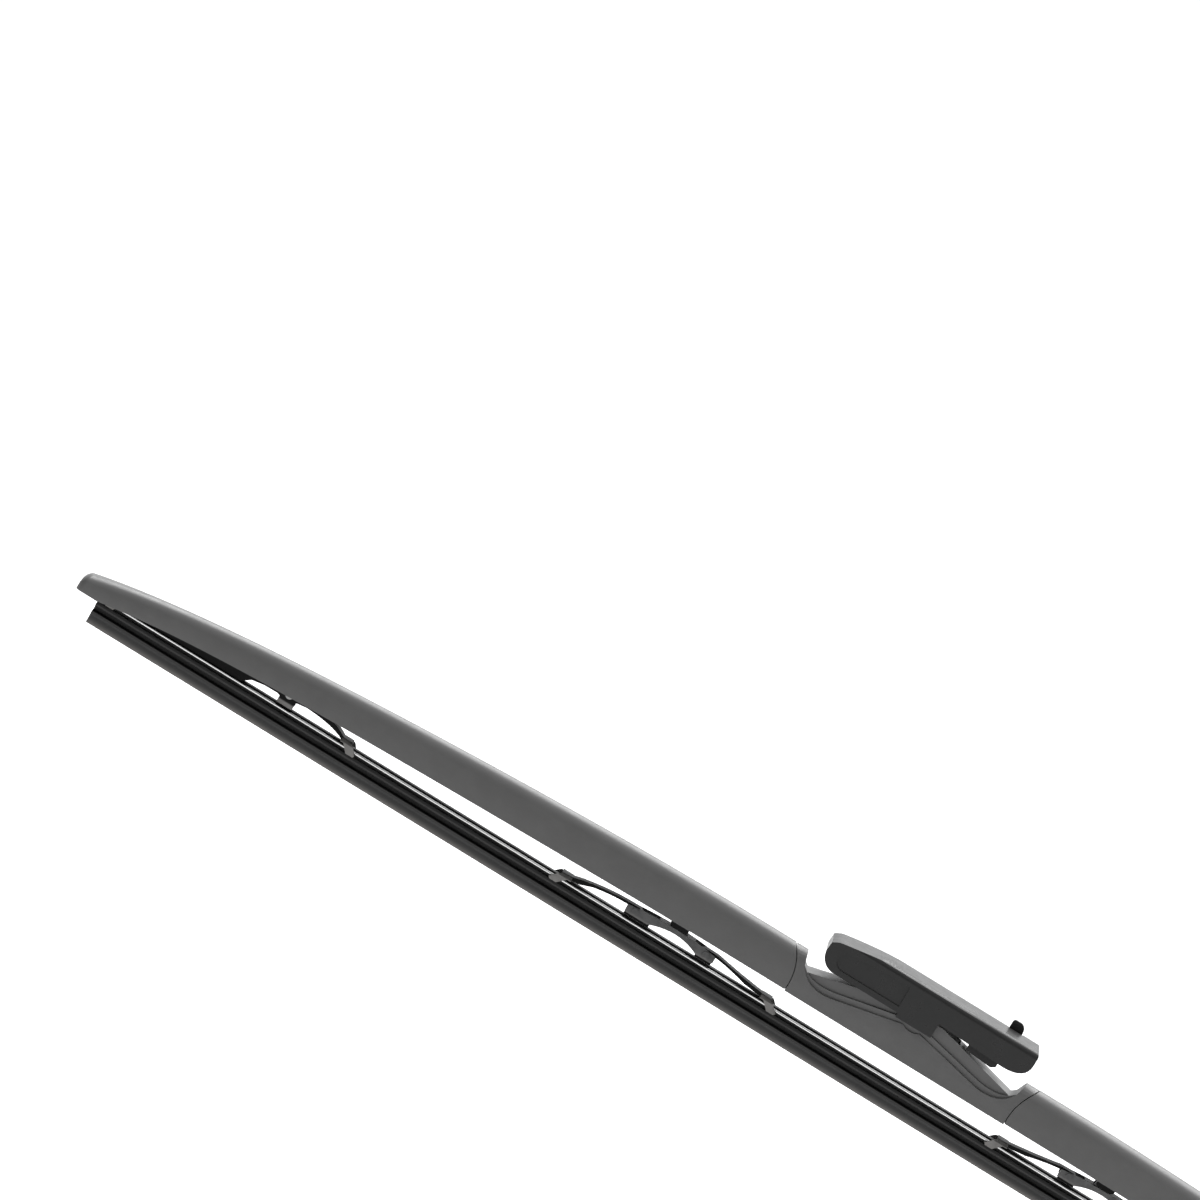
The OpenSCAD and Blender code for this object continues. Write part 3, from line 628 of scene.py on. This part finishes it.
rubber_back = [(-y, z) for y, z in reversed(RUBBER_HALF)]
rubber_outline = filleted(list(RUBBER_HALF) + rubber_back, RUBBER_FILLET)
STRIP_PARTS = {
    "rubber_blade": ("wiping_rubber", rubber_outline, STRIP_END),
    "flexor_front": ("stainless", flexor_outline(-FLEXOR_FAR, -FLEXOR_NEAR), FLEXOR_END),
    "flexor_back": ("stainless", flexor_outline(FLEXOR_NEAR, FLEXOR_FAR), FLEXOR_END),
}
STRIP_SPLIT = 140.0           # the inner length of a strip ends here and the outer one begins
INNER_BEND = (56.0, 68.0)     # places along the blade, in millimetres, by the bridge's seam with the cover
OUTER_BEND = (150.0, 205.0)   # places along the blade, in millimetres, on the cover towards the outer yoke


def make_strips():
    for node, (slot, outline, end) in STRIP_PARTS.items():
        for side, sign in SIDES.items():
            cover, yoke = f"cover_{side}_body", f"outer_yoke_{side}_body"
            spans = (("inner", 0.0, STRIP_SPLIT, "bridge", cover, *INNER_BEND),
                     ("outer", STRIP_SPLIT, end, cover, yoke, *OUTER_BEND))
            for label, x0, x1, near, far, start, stop in spans:
                name = f"{node}_{side}_{label}"
                piece = new_piece(name, strip_mesh(outline, sign * x0, sign * x1, name), slot)
                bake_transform(piece)
                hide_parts(node)


# Widest rounding of each node's edges, in millimetres -------------------------

COVER_ROUNDING = 0.35

ROUNDING = {"adapter_base": 0.25, "adapter_cap": 0.35, "release_tab": 0.3, "bridge": 0.3,
            "pivot_pin": 0.3, "cap_hinge_pin": 0.15}
SIDE_ROUNDING = {"carrier": 0.18, "cover_clips": 0.2, "outer_yoke": 0.18, "mid_lever": 0.18,
                 "mid_yoke_outer": 0.18, "mid_yoke_inner": 0.18, "hinge_pin": 0.2, "outer_pin": 0.2,
                 "mid_pin": 0.2, "lever_pins": 0.15, "washers": 0.08}


def body_of_node(node):
    return next(body for body, members in frame["record"]["behaviour"]["bodies"].items() if node in members)


for node, width in ROUNDING.items():
    round_node(node, slots[node], body_of_node(node), width * MM)
for side, sign in SIDES.items():
    for kind, width in SIDE_ROUNDING.items():
        node = f"{kind}_{side}"
        round_node(node, slots[node], body_of_node(node), width * MM)
    node = f"cover_{side}"
    rough = cover_mesh(sign, node + "_rough")
    mesh = rounded_mesh(rough, node + "_shape", COVER_ROUNDING * MM, merge_flat=False)
    cover = new_piece(node + "_shape", mesh, slots[node])
    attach(cover, body_of_node(node))
    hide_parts(node)
make_strips()


# --------------------------------------------------------- floor and light ----

FLOOR_DROP = 0.16             # the blade is held this far above the floor
FLOOR_SIZE = 60.0
ROOM_LEVEL = 0.60             # brightness of the room at its middle
ROOM_TILT = (0.66, 0.48, 0.75)               # how much brighter it is along X, Y and Z
ROOM_COLOUR = (0.99, 0.995, 1.0, 1.0)
KEY_PLACE = (0.2, 0.75, 1.15)
KEY_TARGET = (-0.1, 0, 0)
KEY_SIZE = (2.2, 1.1)
KEY_WATTS = 34


def make_floor():
    mesh = bpy.data.meshes.new("floor")
    half = FLOOR_SIZE / 2
    z = LIP_Z - FLOOR_DROP
    corners = [(-half, -half, z), (half, -half, z), (half, half, z), (-half, half, z)]
    mesh.from_pydata(corners, [], [(0, 1, 2, 3)])
    floor = bpy.data.objects.new("floor", mesh)
    bpy.context.scene.collection.objects.link(floor)
    s = Shader("floor")
    tone = s.mix(s.noise(0.4, 3.0), grey(0.90), grey(0.93))
    mesh.materials.append(s.finish(tone, 0.8, s.bump(s.noise(0.01, 2.0), 0.0002, 0.2)))


def key_light():
    data = bpy.data.lights.new("key", "AREA")
    data.energy = KEY_WATTS
    data.shape = "RECTANGLE"
    data.size, data.size_y = KEY_SIZE
    light = bpy.data.objects.new("key", data)
    light.location = KEY_PLACE
    light.rotation_mode = "QUATERNION"
    light.rotation_quaternion = (Vector(KEY_TARGET) - Vector(KEY_PLACE)).to_track_quat("-Z", "Y")
    bpy.context.scene.collection.objects.link(light)


def make_light():
    """A white room, brighter above, to the right and beyond the blade, and a key light from there."""
    world = bpy.data.worlds.new("studio")
    world.use_nodes = True
    tree = world.node_tree
    place = tree.nodes.new("ShaderNodeTexCoord")
    tilt = tree.nodes.new("ShaderNodeVectorMath")
    tilt.operation = "DOT_PRODUCT"
    tilt.inputs[1].default_value = ROOM_TILT
    level = tree.nodes.new("ShaderNodeMath")
    level.operation = "ADD"
    level.inputs[1].default_value = ROOM_LEVEL
    tree.links.new(place.outputs["Generated"], tilt.inputs[0])
    tree.links.new(tilt.outputs["Value"], level.inputs[0])
    background = tree.nodes["Background"]
    background.inputs["Color"].default_value = ROOM_COLOUR
    tree.links.new(level.outputs[0], background.inputs["Strength"])
    bpy.context.scene.world = world
    key_light()
    bpy.context.scene.view_settings.view_transform = "Standard"


make_floor()
make_light()
